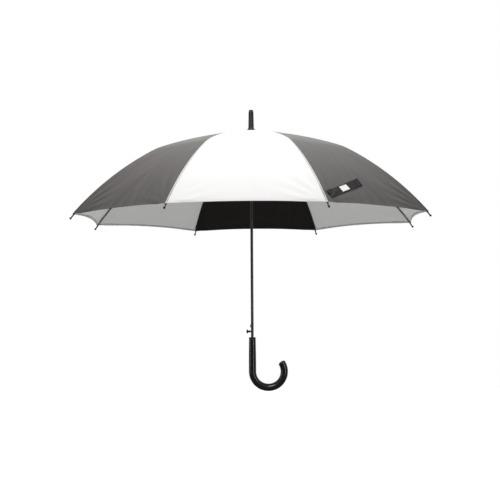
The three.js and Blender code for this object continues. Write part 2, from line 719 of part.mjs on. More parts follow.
ribAngles().forEach((angle, i) => {
  const rib = new THREE.Group();
  rib.rotation.z = angle;
  umbrella.add(rib);
  add(`inner_rib_${i + 1}`, innerRib(), STEEL, rib);
  add(`outer_rib_${i + 1}`, outerRib(), FIBREGLASS, rib);
  add(`stretcher_${i + 1}`, stretcher(), STEEL, rib);
  add(`tip_cap_${i + 1}`, tipCap(), BLACK_PLASTIC, rib);
});

// Panel 1 faces +X. Three panels are dark: the rear one and the two beside the front one.
const DARK_PANELS = [3, 6, 8];

for (let i = 1; i <= RIB_COUNT; i += 1) {
  const cloth = DARK_PANELS.includes(i) ? DARK_CLOTH : WHITE_CLOTH;
  const mesh = add(`canopy_panel_${i}`, panel(), cloth);
  mesh.rotation.z = ((i - 1) * 2 * Math.PI) / RIB_COUNT;
}

const strapSide = new THREE.Group();
strapSide.rotation.z = (STRAP_PANEL * 2 * Math.PI) / RIB_COUNT;
umbrella.add(strapSide);
const strapTop = STRAP_OFF_CLOTH + STRAP_THICKNESS;
const patchStart = STRAP_LENGTH - PATCH_LENGTH;
add("strap", strapPiece(0, STRAP_LENGTH, STRAP_OFF_CLOTH, strapTop), DARK_CLOTH, strapSide);
add("strap_patch", strapPiece(patchStart, STRAP_LENGTH - 1, strapTop + GAP,
  strapTop + GAP + PATCH_THICKNESS), BLACK_PLASTIC, strapSide);
add("strap_label", strapPiece(LABEL_START, LABEL_START + LABEL_LENGTH, strapTop + GAP,
  strapTop + GAP + LABEL_THICKNESS), WHITE_CLOTH, strapSide);

export default umbrella;
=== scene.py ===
import json
import math

import bpy
import numpy as np
from mathutils import Matrix, Vector


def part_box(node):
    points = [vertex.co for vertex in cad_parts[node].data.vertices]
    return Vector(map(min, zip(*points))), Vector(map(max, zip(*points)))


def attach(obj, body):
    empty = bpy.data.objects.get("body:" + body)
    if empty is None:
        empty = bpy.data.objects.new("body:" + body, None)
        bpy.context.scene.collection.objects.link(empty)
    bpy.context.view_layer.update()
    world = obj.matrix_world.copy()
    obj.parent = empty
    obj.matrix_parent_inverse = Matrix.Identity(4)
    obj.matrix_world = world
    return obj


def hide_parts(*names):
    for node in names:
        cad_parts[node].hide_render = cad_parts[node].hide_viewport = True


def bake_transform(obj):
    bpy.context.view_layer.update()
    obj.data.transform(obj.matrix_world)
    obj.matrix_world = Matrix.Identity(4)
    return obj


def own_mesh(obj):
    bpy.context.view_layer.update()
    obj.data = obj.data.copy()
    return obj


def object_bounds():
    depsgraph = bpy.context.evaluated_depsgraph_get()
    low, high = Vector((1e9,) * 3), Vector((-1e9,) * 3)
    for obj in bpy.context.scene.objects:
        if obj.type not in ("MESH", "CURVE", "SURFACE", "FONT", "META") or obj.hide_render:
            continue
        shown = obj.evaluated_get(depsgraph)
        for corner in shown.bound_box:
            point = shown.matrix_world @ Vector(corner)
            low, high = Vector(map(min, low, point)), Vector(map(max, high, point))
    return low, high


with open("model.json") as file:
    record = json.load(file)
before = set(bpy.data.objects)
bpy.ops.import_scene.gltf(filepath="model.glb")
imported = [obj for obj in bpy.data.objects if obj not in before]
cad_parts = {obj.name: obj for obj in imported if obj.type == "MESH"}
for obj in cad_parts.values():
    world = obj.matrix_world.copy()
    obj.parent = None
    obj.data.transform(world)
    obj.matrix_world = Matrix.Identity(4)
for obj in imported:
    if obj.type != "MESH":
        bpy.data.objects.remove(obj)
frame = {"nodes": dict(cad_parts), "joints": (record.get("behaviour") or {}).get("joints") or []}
cad_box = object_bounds()
scene = bpy.context.scene
scene.view_settings.view_transform = "Standard"
scene.view_settings.look = "None"


# --- Camera ---------------------------------------------------------------------------------
# It stands 3.17 m in front of the shaft and a touch to its right, a little above the grip, and
# looks slightly up, so that the underside of the far half shows below the near hem.
CAMERA_DISTANCE = 3.174
CAMERA_HEIGHT = 0.1305
CAMERA_AROUND = math.radians(1.47)
CAMERA_PITCH = math.radians(3.12)
CAMERA_YAW = math.radians(0.094)
CAMERA_ROLL = math.radians(-0.335)
CAMERA_LENS = 79.6

lens = bpy.data.cameras.new("camera")
lens.lens = CAMERA_LENS
lens.sensor_width = 36
lens.clip_end = 60
camera = bpy.data.objects.new("camera", lens)
around = Matrix.Rotation(CAMERA_AROUND, 4, "Z")
camera.location = around @ Vector((0, -CAMERA_DISTANCE, CAMERA_HEIGHT))
aim = Matrix.Rotation(CAMERA_YAW, 4, "Z") @ Matrix.Rotation(math.pi / 2 + CAMERA_PITCH, 4, "X")
camera.rotation_euler = (around @ aim @ Matrix.Rotation(CAMERA_ROLL, 4, "Z")).to_euler()
scene.collection.objects.link(camera)
scene.camera = camera


# --- Studio ---------------------------------------------------------------------------------
# A white floor and a lit white wall behind the umbrella, in a dim room. Two tall narrow boxes
# light it from the left and right, a square one from the front, and a wide one from above.

class Value:
    """A socket that can be written in an expression."""

    def __init__(self, tree, socket):
        self.tree = tree
        self.socket = socket

    def maths(self, operation, *others):
        return self.tree.node("ShaderNodeMath", {"operation": operation}, [self, *others])

    def __add__(self, other):
        return self.maths("ADD", other)

    def __sub__(self, other):
        return self.maths("SUBTRACT", other)

    def __mul__(self, other):
        return self.maths("MULTIPLY", other)

    def __truediv__(self, other):
        return self.maths("DIVIDE", other)

    def __rsub__(self, other):
        return self.tree.node("ShaderNodeMath", {"operation": "SUBTRACT"}, [other, self])

    __radd__ = __add__
    __rmul__ = __mul__

    def below(self, limit, soft):
        """1 where the value is under the limit, falling to 0 over soft."""
        return ((limit - self) / soft + 0.5).clamped()

    def near(self, middle, half, soft):
        """1 within half of the middle, falling to 0 over soft."""
        return (self - middle).maths("ABSOLUTE").below(half, soft)

    def clamped(self):
        return self.tree.node("ShaderNodeClamp", {}, [self])

    def wave(self, period):
        """A sine wave of the value, from 0 to 1."""
        return (self * (2 * math.pi / period)).maths("SINE") * 0.5 + 0.5


class Material:
    """A node material built from expressions, or the light of the world."""

    def __init__(self, name, kind="materials"):
        self.made = getattr(bpy.data, kind).new(name)
        self.made.use_nodes = True
        self.nodes = self.made.node_tree.nodes
        self.links = self.made.node_tree.links
        self.nodes.clear()

    def node(self, kind, settings, inputs, output=0):
        """Adds a node. inputs is a list by place or a dict by socket name."""
        made = self.nodes.new(kind)
        for key, value in settings.items():
            setattr(made, key, value)
        pairs = inputs.items() if isinstance(inputs, dict) else enumerate(inputs)
        for key, value in pairs:
            if isinstance(value, Value):
                self.links.new(value.socket, made.inputs[key])
            else:
                made.inputs[key].default_value = value
        return Value(self, made.outputs[output])

    def noise(self, place, scale, detail=2.0, rough=0.5):
        sockets = {"Vector": place, "Scale": scale, "Detail": detail, "Roughness": rough}
        return self.node("ShaderNodeTexNoise", {}, sockets)

    def place(self):
        return self.node("ShaderNodeTexCoord", {}, {}, "Object")

    def stretched(self, place, x, y, z):
        sockets = {0: place, 1: (x, y, z)}
        return self.node("ShaderNodeVectorMath", {"operation": "MULTIPLY"}, sockets)

    def blend(self, share, low, high):
        """A colour between two colours."""
        inputs = {0: share, 6: low, 7: high}
        return self.node("ShaderNodeMix", {"data_type": "RGBA"}, inputs, 2)

    def bump(self, height, distance, strength=1.0):
        sockets = {"Height": height, "Distance": distance, "Strength": strength}
        return self.node("ShaderNodeBump", {}, sockets)

    def skin(self, **sockets):
        """A Principled shader. Socket names are written with _ for a space."""
        named = {key.replace("_", " "): value for key, value in sockets.items()}
        return self.node("ShaderNodeBsdfPrincipled", {}, named)

    def finish(self, shader):
        world = isinstance(self.made, bpy.types.World)
        out = self.nodes.new("ShaderNodeOutputWorld" if world else "ShaderNodeOutputMaterial")
        self.links.new(shader.socket, out.inputs["Surface"])
        return self.made


FLOOR_DEPTH = 0.5
FLOOR_GLOW = 0.6
STUDIO_SIZE = 14

backdrop = Material("studio_white")
paper = backdrop.noise(backdrop.place(), 3.0)
backdrop_tone = backdrop.blend(paper, (0.95, 0.95, 0.95, 1), (1, 1, 1, 1))
backdrop.finish(backdrop.skin(Base_Color=backdrop_tone, Roughness=0.9,
                              Emission_Color=(1, 1, 1, 1), Emission_Strength=FLOOR_GLOW))

floor_z = cad_box[0][2] - FLOOR_DEPTH
floor_mesh = bpy.data.meshes.new("floor")
reach = STUDIO_SIZE / 2
corners = [(-reach, -reach, floor_z), (reach, -reach, floor_z),
           (reach, reach, floor_z), (-reach, reach, floor_z)]
floor_mesh.from_pydata(corners, [], [(0, 1, 2, 3)])
floor_mesh.materials.append(backdrop.made)
floor = bpy.data.objects.new("floor", floor_mesh)
scene.collection.objects.link(floor)
# The floor is hidden from diffuse and glossy rays, as black flags out of sight would do in a studio, so that
# little light comes back up.
floor.visible_diffuse = False
floor.visible_glossy = False

ROOM_LIGHT = 0.1
ROOM_TOP = 0.6
WALL_LIGHT = 1.0

sky = Material("studio_light", "worlds")
way = sky.node("ShaderNodeTexCoord", {}, {}, "Generated")
split = sky.node("ShaderNodeSeparateXYZ", {}, [way]).socket.node.outputs
back, up = Value(sky, split["Y"]), Value(sky, split["Z"])
wall = 1 - back.below(0.45, 0.5)
room = (up * (ROOM_TOP - ROOM_LIGHT)).clamped() + ROOM_LIGHT
lit = room + wall * up.near(0.1, 0.5, 0.6) * (WALL_LIGHT - ROOM_LIGHT)
seen = sky.node("ShaderNodeLightPath", {}, {}, "Is Camera Ray")
level = lit * (1 - seen) + seen
sky.finish(sky.node("ShaderNodeBackground", {}, {"Color": (1, 1, 1, 1), "Strength": level}))
scene.world = sky.made


def softbox(name, place, target, width, height, power):
    """A lit rectangle, facing its target. Sizes are in metres and the power in watts."""
    light = bpy.data.lights.new(name, "AREA")
    light.shape = "RECTANGLE"
    light.size = width
    light.size_y = height
    light.energy = power
    lamp = bpy.data.objects.new(name, light)
    lamp.location = place
    lamp.rotation_euler = (Vector(target) - Vector(place)).to_track_quat("-Z", "Y").to_euler()
    scene.collection.objects.link(lamp)


softbox("right_light", (2.0, -2.3, 0.45), (0, 0, 0.35), 0.3, 1.9, 15)
softbox("left_light", (-2.9, -0.9, 0.45), (0, 0, 0.3), 0.25, 1.9, 9)
softbox("front_light", (-0.7, -3.3, 2.6), (0, 0, 0.45), 1.2, 1.2, 46)
softbox("top_light", (0.2, 0.3, 3.0), (0, 0, 0.5), 2.2, 2.2, 66)


# --- Canopy ---------------------------------------------------------------------------------
# Eight gores of polyester pongee, white or dark grey, sewn to each other over the ribs and
# drawn tight by them, with a hem between the tips. Here each gore is cut along its middle and
# at the rib joints, so that each quarter can fold with its own rib.
MM = 0.001
RIBS = 8
HALF_GORE = math.pi / RIBS
DARK_GORES = (3, 6, 8)
INNER_BOW = 8.5 * MM
OUTER_BOW = 15 * MM
OUTER_CHORD = 313 * MM
OUTER_SLOPE = math.radians(38.8)
CLOTH_ABOVE_RIB = 4.4 * MM
CROWN_RADIUS = 9.5 * MM
CORNER_BEFORE_TIP = 0.5 * MM
HEM_CURVE = 13 * MM
SAG = 7 * MM
HEM_WIDTH = 8 * MM
HEM_FOLD = 0.7 * MM
PULL_DEPTH = 1.1 * MM
PULL_PITCH = 17
PULL_FROM_TIP = 50 * MM
PULL_SPREAD = 55 * MM
PULL_OFF_SEAM = 12 * MM

joints = {joint["name"]: joint for joint in frame["joints"]}


def flat_place(joint):
    """Where a joint is, as (radius, height)."""
    x, y, z = joints[joint]["pos_m"]
    return np.array([math.hypot(x, y), z])


def bowed(start, end, bow, count):
    """Points on an arc from start to end, as (radius, height)."""
    chord = end - start
    length = np.linalg.norm(chord)
    along = chord / length
    out = np.array([-along[1], along[0]])
    radius = (length ** 2 / 4 + bow ** 2) / (2 * bow)
    turns = np.linspace(-1, 1, count) * math.asin(length / 2 / radius)
    centre = (start + end) / 2 + out * (bow - radius)
    return centre + radius * (np.outer(np.sin(turns), along) + np.outer(np.cos(turns), out))


notch_hinge = flat_place("inner_rib_1_fold")
rib_joint = flat_place("outer_rib_1_bend")
rod_end = rib_joint + OUTER_CHORD * np.array([math.cos(OUTER_SLOPE), -math.sin(OUTER_SLOPE)])
inner_line = bowed(notch_hinge, rib_joint, INNER_BOW, 140)
outer_line = bowed(rib_joint, rod_end, OUTER_BOW, 160)


def normals_of(line):
    along = np.gradient(line, axis=0)
    along /= np.linalg.norm(along, axis=1)[:, None]
    return np.stack([-along[:, 1], along[:, 0]], axis=1)


def lengths_of(line):
    steps = np.linalg.norm(np.diff(line, axis=0), axis=1)
    return np.concatenate([[0], np.cumsum(steps)])


# The seam follows the rib at a steady height, with the bend at the rib joint eased.
rib_line = np.vstack([inner_line, outer_line[1:]])
for _ in range(60):
    rib_line[1:-1] = (rib_line[:-2] + 2 * rib_line[1:-1] + rib_line[2:]) / 4
seam = rib_line + normals_of(rib_line) * CLOTH_ABOVE_RIB
corner_radius = rod_end[0] - CORNER_BEFORE_TIP * math.cos(OUTER_SLOPE)
first = np.array([CROWN_RADIUS, np.interp(CROWN_RADIUS, seam[:, 0], seam[:, 1])])
last = np.array([corner_radius, np.interp(corner_radius, seam[:, 0], seam[:, 1])])
seam = np.vstack([first, seam[(seam[:, 0] > CROWN_RADIUS) & (seam[:, 0] < corner_radius)], last])
seam_down = lengths_of(seam)
seam_normals = normals_of(seam)
SEAM_LENGTH = seam_down[-1]
JOINT_DOWN = seam_down[np.argmin(np.linalg.norm(seam - rib_joint, axis=1))]


def gore_point(down, across, lift=0.0):
    """A point of a gore whose middle is at azimuth 0. down is metres along the seam, across runs
    from -1 to 1 between its ribs. Pulls from the ribs' tips leave soft folds near the corners."""
    radius, height = (np.interp(down, seam_down, seam[:, k]) for k in (0, 1))
    nr, nz = (np.interp(down, seam_down, seam_normals[:, k]) for k in (0, 1))
    middle = 1 - across ** 2
    half = radius * math.sin(HALF_GORE)
    sag = SAG * (down / SEAM_LENGTH) ** 2 * middle
    from_rib = half * (1 - np.abs(across))
    to_corner = np.hypot(SEAM_LENGTH - down, from_rib)
    turn = np.arctan2(from_rib, SEAM_LENGTH - down + 4 * MM)
    fade = np.exp(-((to_corner - PULL_FROM_TIP) / PULL_SPREAD) ** 2)
    folds = PULL_DEPTH * np.sin(turn * PULL_PITCH + 0.6) * fade
    folds = folds * np.clip(from_rib / PULL_OFF_SEAM, 0, 1)
    shift = lift - sag + folds
    return np.stack([radius * math.cos(HALF_GORE) + nr * shift, half * across, height + nz * shift], -1)


def turned_about_z(points, angle):
    c, s = math.cos(angle), math.sin(angle)
    return points @ np.array([[c, s, 0], [-s, c, 0], [0, 0, 1]])


def hem_down(across):
    """How far down the seam the hem lies, which rises in a curve between the tips."""
    return SEAM_LENGTH - HEM_CURVE * (1 - across ** 2)


def grid_faces(rows, columns, start, flip):
    """The faces of a grid of points that are listed row by row."""
    faces = []
    for i in range(rows - 1):
        for j in range(columns - 1):
            a = start + i * columns + j
            face = (a, a + columns, a + columns + 1, a + 1)
            faces.append(face[::-1] if flip else face)
    return faces


def cloth_material(name, light, shade, sheen, through, thread):
    """Pongee: a fine plain weave with a soft sheen. Its cloth attribute holds the distances from
    the rib seam, from the crown and from the hem, in metres."""
    cloth = Material(name)
    place = cloth.node("ShaderNodeAttribute", {"attribute_name": "cloth"}, {}, "Vector")
    split = cloth.node("ShaderNodeSeparateXYZ", {}, [place])
    sockets = split.socket.node.outputs
    from_seam, down, from_hem = (Value(cloth, sockets[k]) for k in range(3))
    cloud = cloth.noise(place, 9.0, 3.0)
    threads = cloth.noise(cloth.stretched(place, 900, 260, 900), 1.0, 1.0)
    tone = cloth.blend(cloud * 0.6 + threads * 0.4, shade, light)
    stitch = from_hem.near(HEM_WIDTH - 1.2 * MM, 0.45 * MM, 0.4 * MM) * from_seam.wave(3.2 * MM)
    felled = from_seam.near(3 * MM, 0.4 * MM, 0.4 * MM) * down.wave(3.2 * MM)
    sewing = (stitch + felled).clamped()
    coloured = cloth.blend(sewing * 0.55, tone, thread)
    # Painted shade: a thin band along the hem's folded edge, on both faces of the fold, is darkened towards
    # the thread colour in place of the fold's shade.
    edge = from_hem.below(0.9 * MM, 0.6 * MM) * 0.75
    coloured = cloth.blend(edge, coloured, thread)
    soft_folds = cloth.noise(cloth.stretched(place, 16, 3.2, 0), 1.0, 2.0, 0.45)
    pull = from_hem.below(0.03, 0.05) * cloth.noise(cloth.stretched(place, 42, 6, 0), 1.0, 1.0)
    doubled = from_hem.below(HEM_WIDTH, 0.8 * MM) * 0.12 + from_seam.below(5 * MM, 1 * MM) * 0.12
    height = soft_folds * 1.6 + pull * 0.35 + doubled + threads * 0.03 - sewing * 0.12
    relief = cloth.bump(height, 0.0022, 0.55)
    rough = cloud * 0.12 + 0.5
    skin = cloth.skin(Base_Color=coloured, Roughness=rough, Normal=relief, Specular_IOR_Level=0.35,
                      Sheen_Weight=sheen, Sheen_Roughness=0.35, Sheen_Tint=(1, 0.96, 0.92, 1))
    glow = cloth.node("ShaderNodeBsdfTranslucent", {}, {"Color": light})
    cloth.finish(cloth.node("ShaderNodeMixShader", {}, [through, skin, glow]))
    return cloth.made


white_cloth = cloth_material("white_pongee", light=(0.86, 0.855, 0.845, 1), shade=(0.8, 0.795, 0.785, 1),
                             sheen=0.1, through=0.27, thread=(0.09, 0.085, 0.08, 1))
dark_cloth = cloth_material("dark_pongee", light=(0.04, 0.035, 0.0315, 1), shade=(0.03, 0.026, 0.0235, 1),
                            sheen=0.52, through=0.004, thread=(0.03, 0.028, 0.027, 1))


def half_gore(rib, side, outer):
    """The cloth between a rib and the middle of the gore beside it, inside or outside the joint."""
    gore = rib % RIBS + 1 if side > 0 else rib
    columns = 22
    rows = 40 if outer else 30
    share = np.linspace(0, 1, rows)[:, None]
    across = -side * (1 - np.linspace(0, 1, columns)[None, :])
    lowest = hem_down(across)
    if outer:
        down = JOINT_DOWN + (lowest - JOINT_DOWN) * share
    else:
        down = JOINT_DOWN * share + 0 * across
    across = across + 0 * down
    points = [gore_point(down, across).reshape(-1, 3)]
    faces = grid_faces(rows, columns, 0, side < 0)
    radius = np.interp(down, seam_down, seam[:, 0])
    marks = [np.stack([radius * math.sin(HALF_GORE) * (1 - np.abs(across)), down, lowest - down], -1)]
    if outer:
        # The hem is turned up under the cloth.
        band = np.array([0.0, 0.35, 0.7, 1.0])[:, None] * HEM_WIDTH
        fold_down = lowest - band + 0 * across[:4]
        fold_lift = -HEM_FOLD * np.array([0.25, 1, 1, 1])[:, None] + 0 * across[:4]
        points.append(gore_point(fold_down, across[:4], fold_lift).reshape(-1, 3))
        faces += grid_faces(len(band), columns, rows * columns, side > 0)
        wide = np.interp(fold_down, seam_down, seam[:, 0]) * math.sin(HALF_GORE)
        marks.append(np.stack([wide * (1 - np.abs(across[:4])), fold_down, band + 0 * fold_down], -1))
    where = turned_about_z(np.vstack(points), (gore - 1) * 2 * HALF_GORE)
    mesh = bpy.data.meshes.new("cloth")
    mesh.from_pydata(where.tolist(), [], faces)
    mark = mesh.attributes.new("cloth", "FLOAT_VECTOR", "POINT")
    mark.data.foreach_set("vector", np.vstack([m.reshape(-1, 3) for m in marks]).ravel())
    mesh.shade_smooth()
    part = "outer" if outer else "inner"
    piece = bpy.data.objects.new(f"cloth_{part}_{rib}_{'left' if side > 0 else 'right'}", mesh)
    scene.collection.objects.link(piece)
    dark = gore in DARK_GORES
    mesh.materials.append(dark_cloth if dark else white_cloth)
    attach(piece, f"{part}_rib_{rib}")
    fold_with_rib(piece)
    if not outer and side < 0:
        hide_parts(f"canopy_panel_{gore}")
    length = float((down.max() - down.min()) + (HEM_WIDTH if outer else 0)) * 1.01


def fold_with_rib(piece):
    """Gives the piece its own copy of its mesh."""
    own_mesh(piece)


for rib in range(1, RIBS + 1):
    for side in (1, -1):
        half_gore(rib, side, outer=False)
        half_gore(rib, side, outer=True)


# --- Strap ----------------------------------------------------------------------------------
# A doubled strip of the dark cloth, sewn to the seam, with a square of hook tape on its free end
# and a blank woven label. It lies on the gore, and its free end stands a little off it.
STRAP_RIB = 7
STRAP_LENGTH = 180 * MM
STRAP_WIDTH = 24.5 * MM
STRAP_THICKNESS = 1.2 * MM
STRAP_OFF_CLOTH = 0.5 * MM
STRAP_ABOVE_HEM = 30 * MM
STRAP_FROM_SEAM = 16 * MM
STRAP_TURN = math.radians(22)
STRAP_CURL = 5 * MM
STRAP_RIPPLE = 0.5 * MM
PATCH_LENGTH = 26 * MM
PATCH_INSET = 1.5 * MM
PATCH_THICKNESS = 0.9 * MM
LABEL_START = 68 * MM
LABEL_LENGTH = 42 * MM
LABEL_WIDTH = 17 * MM
LABEL_THICKNESS = 0.35 * MM

strap_down = SEAM_LENGTH - STRAP_ABOVE_HEM
strap_across = STRAP_FROM_SEAM - np.interp(strap_down, seam_down, seam[:, 0]) * math.sin(HALF_GORE)


def strap_point(along, width, lift):
    """A place on the strap, along it from its sewn end, across it, and off the gore."""
    across = strap_across + along * math.cos(STRAP_TURN) + width * math.sin(STRAP_TURN)
    down = strap_down - along * math.sin(STRAP_TURN) + width * math.cos(STRAP_TURN)
    share = along / STRAP_LENGTH
    rise = STRAP_CURL * share ** 3 * (0.45 - width / STRAP_WIDTH)
    rise = rise + STRAP_RIPPLE * (1 + np.sin(share * 19)) * share
    half = np.interp(down, seam_down, seam[:, 0]) * math.sin(HALF_GORE)
    return gore_point(down, across / half, STRAP_OFF_CLOTH + lift + rise)


def slab(name, start, stop, width, low, high, material):
    """A flat strip with rounded edges, as a closed mesh. Its strip attribute holds the distances
    along it, from its nearer long edge and from its nearer end."""
    edge = (high - low) / 2
    inner = width / 2 - edge
    curve = np.linspace(-math.pi / 2, math.pi / 2, 7)
    flat = np.linspace(inner, -inner, 14)[1:-1]
    wide = np.concatenate([inner + edge * np.cos(curve), flat, -inner - edge * np.cos(curve), -flat])
    lift = np.concatenate([edge * np.sin(curve), np.full(len(flat), edge),
                           -edge * np.sin(curve), np.full(len(flat), -edge)])
    steps = int((stop - start) / (1.5 * MM)) + 2
    along = np.linspace(start, stop, steps)
    ends = np.minimum(along - start, stop - along)
    shrink = np.sqrt(np.clip(1 - (1 - np.clip(ends / edge, 0, 1)) ** 2, 0.02, 1))
    a, w = np.broadcast_arrays(along[:, None], wide[None, :])
    h = (low + high) / 2 + lift[None, :] * shrink[:, None]
    points = strap_point(a, w, h).reshape(-1, 3)
    count = len(wide)
    faces = []
    for i in range(steps - 1):
        here, ahead = i * count, (i + 1) * count
        for j in range(count):
            k = (j + 1) % count
            faces.append((here + j, here + k, ahead + k, ahead + j))
    faces += [tuple(range(count))[::-1], tuple(range(len(points) - count, len(points)))]
    points = turned_about_z(points, STRAP_RIB * 2 * HALF_GORE)
    mesh = bpy.data.meshes.new(name)
    mesh.from_pydata(points.tolist(), [], faces)
    marks = np.stack([a, width / 2 - np.abs(w), np.broadcast_to(ends[:, None], a.shape)], -1)
    mark = mesh.attributes.new("strip", "FLOAT_VECTOR", "POINT")
    mark.data.foreach_set("vector", marks.reshape(-1, 3).ravel())
    mesh.materials.append(material)
    mesh.shade_smooth()
    piece = bpy.data.objects.new(name, mesh)
    scene.collection.objects.link(piece)
    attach(piece, f"outer_rib_{STRAP_RIB}")
    fold_with_rib(piece)
    return piece


def strip_material(name, low, high, thread, inset, pitch, rough, pile):
    """Cloth with a line of stitches inset from its edges."""
    tape = Material(name)
    place = tape.node("ShaderNodeAttribute", {"attribute_name": "strip"}, {}, "Vector")
    split = tape.node("ShaderNodeSeparateXYZ", {}, [place]).socket.node.outputs
    along, side, end = (Value(tape, split[k]) for k in range(3))
    cloud = tape.noise(tape.place(), 90.0, 3.0)
    weave = tape.noise(tape.stretched(place, 1900, 1900, 0), 1.0, 1.0)
    line = side.near(inset, 0.35 * MM, 0.3 * MM) * along.wave(pitch).below(0.62, 0.2)
    turn = end.near(inset, 0.35 * MM, 0.3 * MM) * side.wave(pitch).below(0.62, 0.2)
    sewing = (line + turn).clamped()
    tone = tape.blend(cloud * 0.5 + weave * 0.5, low, high)
    colour = tape.blend(sewing * 0.8, tone, thread)
    hem = side.near(inset * 1.6, 0.25 * MM, 0.4 * MM)
    relief = tape.bump(weave * pile + sewing * 0.5 - hem * 0.4, 0.0004, 0.7)
    tape.finish(tape.skin(Base_Color=colour, Roughness=cloud * 0.1 + rough, Normal=relief,
                          Specular_IOR_Level=0.25))
    return tape.made


strap_cloth = strip_material("strap_cloth", (0.01, 0.0095, 0.009, 1), (0.02, 0.019, 0.018, 1),
                             (0.045, 0.043, 0.041, 1), 2.2 * MM, 3 * MM, 0.75, 0.3)
hook_tape = strip_material("hook_tape", (0.006, 0.006, 0.006, 1), (0.025, 0.025, 0.025, 1),
                           (0.05, 0.05, 0.05, 1), 2 * MM, 2.6 * MM, 0.7, 1.6)
label_cloth = strip_material("label_satin", (0.78, 0.775, 0.76, 1), (0.9, 0.895, 0.88, 1),
                             (0.5, 0.5, 0.49, 1), 1.2 * MM, 2 * MM, 0.45, 0.25)

strap = slab("strap_band", 0, STRAP_LENGTH, STRAP_WIDTH, 0, STRAP_THICKNESS, strap_cloth)
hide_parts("strap")
patch = slab("strap_hook_tape", STRAP_LENGTH - PATCH_LENGTH, STRAP_LENGTH - 1 * MM,
             STRAP_WIDTH - 2 * PATCH_INSET, STRAP_THICKNESS, STRAP_THICKNESS + PATCH_THICKNESS,
             hook_tape)
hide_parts("strap_patch")
label = slab("strap_label_blank", LABEL_START, LABEL_START + LABEL_LENGTH, LABEL_WIDTH,
             STRAP_THICKNESS, STRAP_THICKNESS + LABEL_THICKNESS, label_cloth)
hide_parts("strap_label")


# --- Seam tapes -----------------------------------------------------------------------------
# Under each seam the two gores' edges are turned to one side and sewn down, which leaves a
# narrow doubled band over the rib.
TAPE_WIDTH = 7 * MM
TAPE_DROP = 0.9 * MM
TAPE_START = 20 * MM


def rib_band(line, rise, width):
    """A band of cloth centred on a rib's plane, at azimuth 0."""
    middle = line + normals_of(line) * rise
    across = np.array([-0.5, 0, 0.5]) * width
    grid = [(x, y, z) for x, z in middle for y in across]
    return np.array(grid), grid_faces(len(middle), len(across), 0, False)


def add_mesh(name, points, faces, material, body):
    mesh = bpy.data.meshes.new(name)
    mesh.from_pydata(np.asarray(points).tolist(), [], faces)
    mesh.materials.append(material)
    mesh.shade_smooth()
    piece = bpy.data.objects.new(name, mesh)
    scene.collection.objects.link(piece)
    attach(piece, body)
    return piece


def tape_material(name, tone, thread):
    tape = Material(name)
    place = tape.place()
    cloud = tape.noise(place, 60.0)
    threads = tape.noise(place, 1500.0, 1.0)
    colour = tape.blend(threads * 0.5 + cloud * 0.5, thread, tone)
    tape.finish(tape.skin(Base_Color=colour, Roughness=0.75, Sheen_Weight=0.2,
                          Normal=tape.bump(threads + cloud, 0.0002)))
    return tape.made


white_tape = tape_material("white_seam_tape", (0.8, 0.795, 0.78, 1), (0.62, 0.61, 0.6, 1))
dark_tape = tape_material("dark_seam_tape", (0.07, 0.064, 0.06, 1), (0.03, 0.028, 0.026, 1))

for rib in range(1, RIBS + 1):
    beside = {rib, rib % RIBS + 1}
    dark = bool(beside & set(DARK_GORES))
    azimuth = (rib - 0.5) * 2 * HALF_GORE
    parts = {"inner": (seam_down <= JOINT_DOWN) & (seam_down > TAPE_START),
             "outer": (seam_down >= JOINT_DOWN) & (seam_down < SEAM_LENGTH - HEM_WIDTH)}
    for part, chosen in parts.items():
        points, faces = rib_band(seam[chosen][::4], -TAPE_DROP, TAPE_WIDTH)
        add_mesh(f"seam_tape_{part}_{rib}", turned_about_z(points, azimuth), faces,
                 dark_tape if dark else white_tape, f"{part}_rib_{rib}")


# --- Ties -----------------------------------------------------------------------------------
# Black thread is wound round rib and seam half way along each inner and outer rib, so that the
# canopy can't slide along them.
TIE_THREAD = 0.35 * MM
TIE_TURNS = 4
TIE_PITCH = 2.2 * TIE_THREAD
TIE_HALF_HEIGHT = 2.5 * MM
TIE_HALF_WIDTH = 1.9 * MM

thread = Material("tie_thread")
twist = thread.noise(thread.stretched(thread.place(), 3000, 3000, 3000), 1.0)
thread_tone = thread.blend(twist, (0.02, 0.02, 0.02, 1), (0.06, 0.058, 0.055, 1))
thread.finish(thread.skin(Base_Color=thread_tone, Roughness=0.8, Normal=thread.bump(twist, 0.0002)))


def tube(path, radii, sides):
    """A round tube along points, with a radius at each and closed ends."""
    path = np.asarray(path, float)
    along = np.gradient(path, axis=0)
    along /= np.linalg.norm(along, axis=1)[:, None]
    side = np.cross(along[0], (0.3, 0.5, 0.81))
    rows = []
    for point, way, radius in zip(path, along, np.broadcast_to(radii, len(path))):
        side = side - way * (side @ way)
        side /= np.linalg.norm(side)
        up = np.cross(way, side)
        turns = np.linspace(0, 2 * math.pi, sides, endpoint=False)
        rows.append(point + radius * (np.outer(np.cos(turns), side) + np.outer(np.sin(turns), up)))
    points = np.vstack(rows)
    faces = []
    for i in range(len(path) - 1):
        for j in range(sides):
            k = (j + 1) % sides
            faces.append((i * sides + j, i * sides + k, (i + 1) * sides + k, (i + 1) * sides + j))
    faces.append(tuple(range(sides))[::-1])
    faces.append(tuple(range(len(points) - sides, len(points))))
    return points, faces


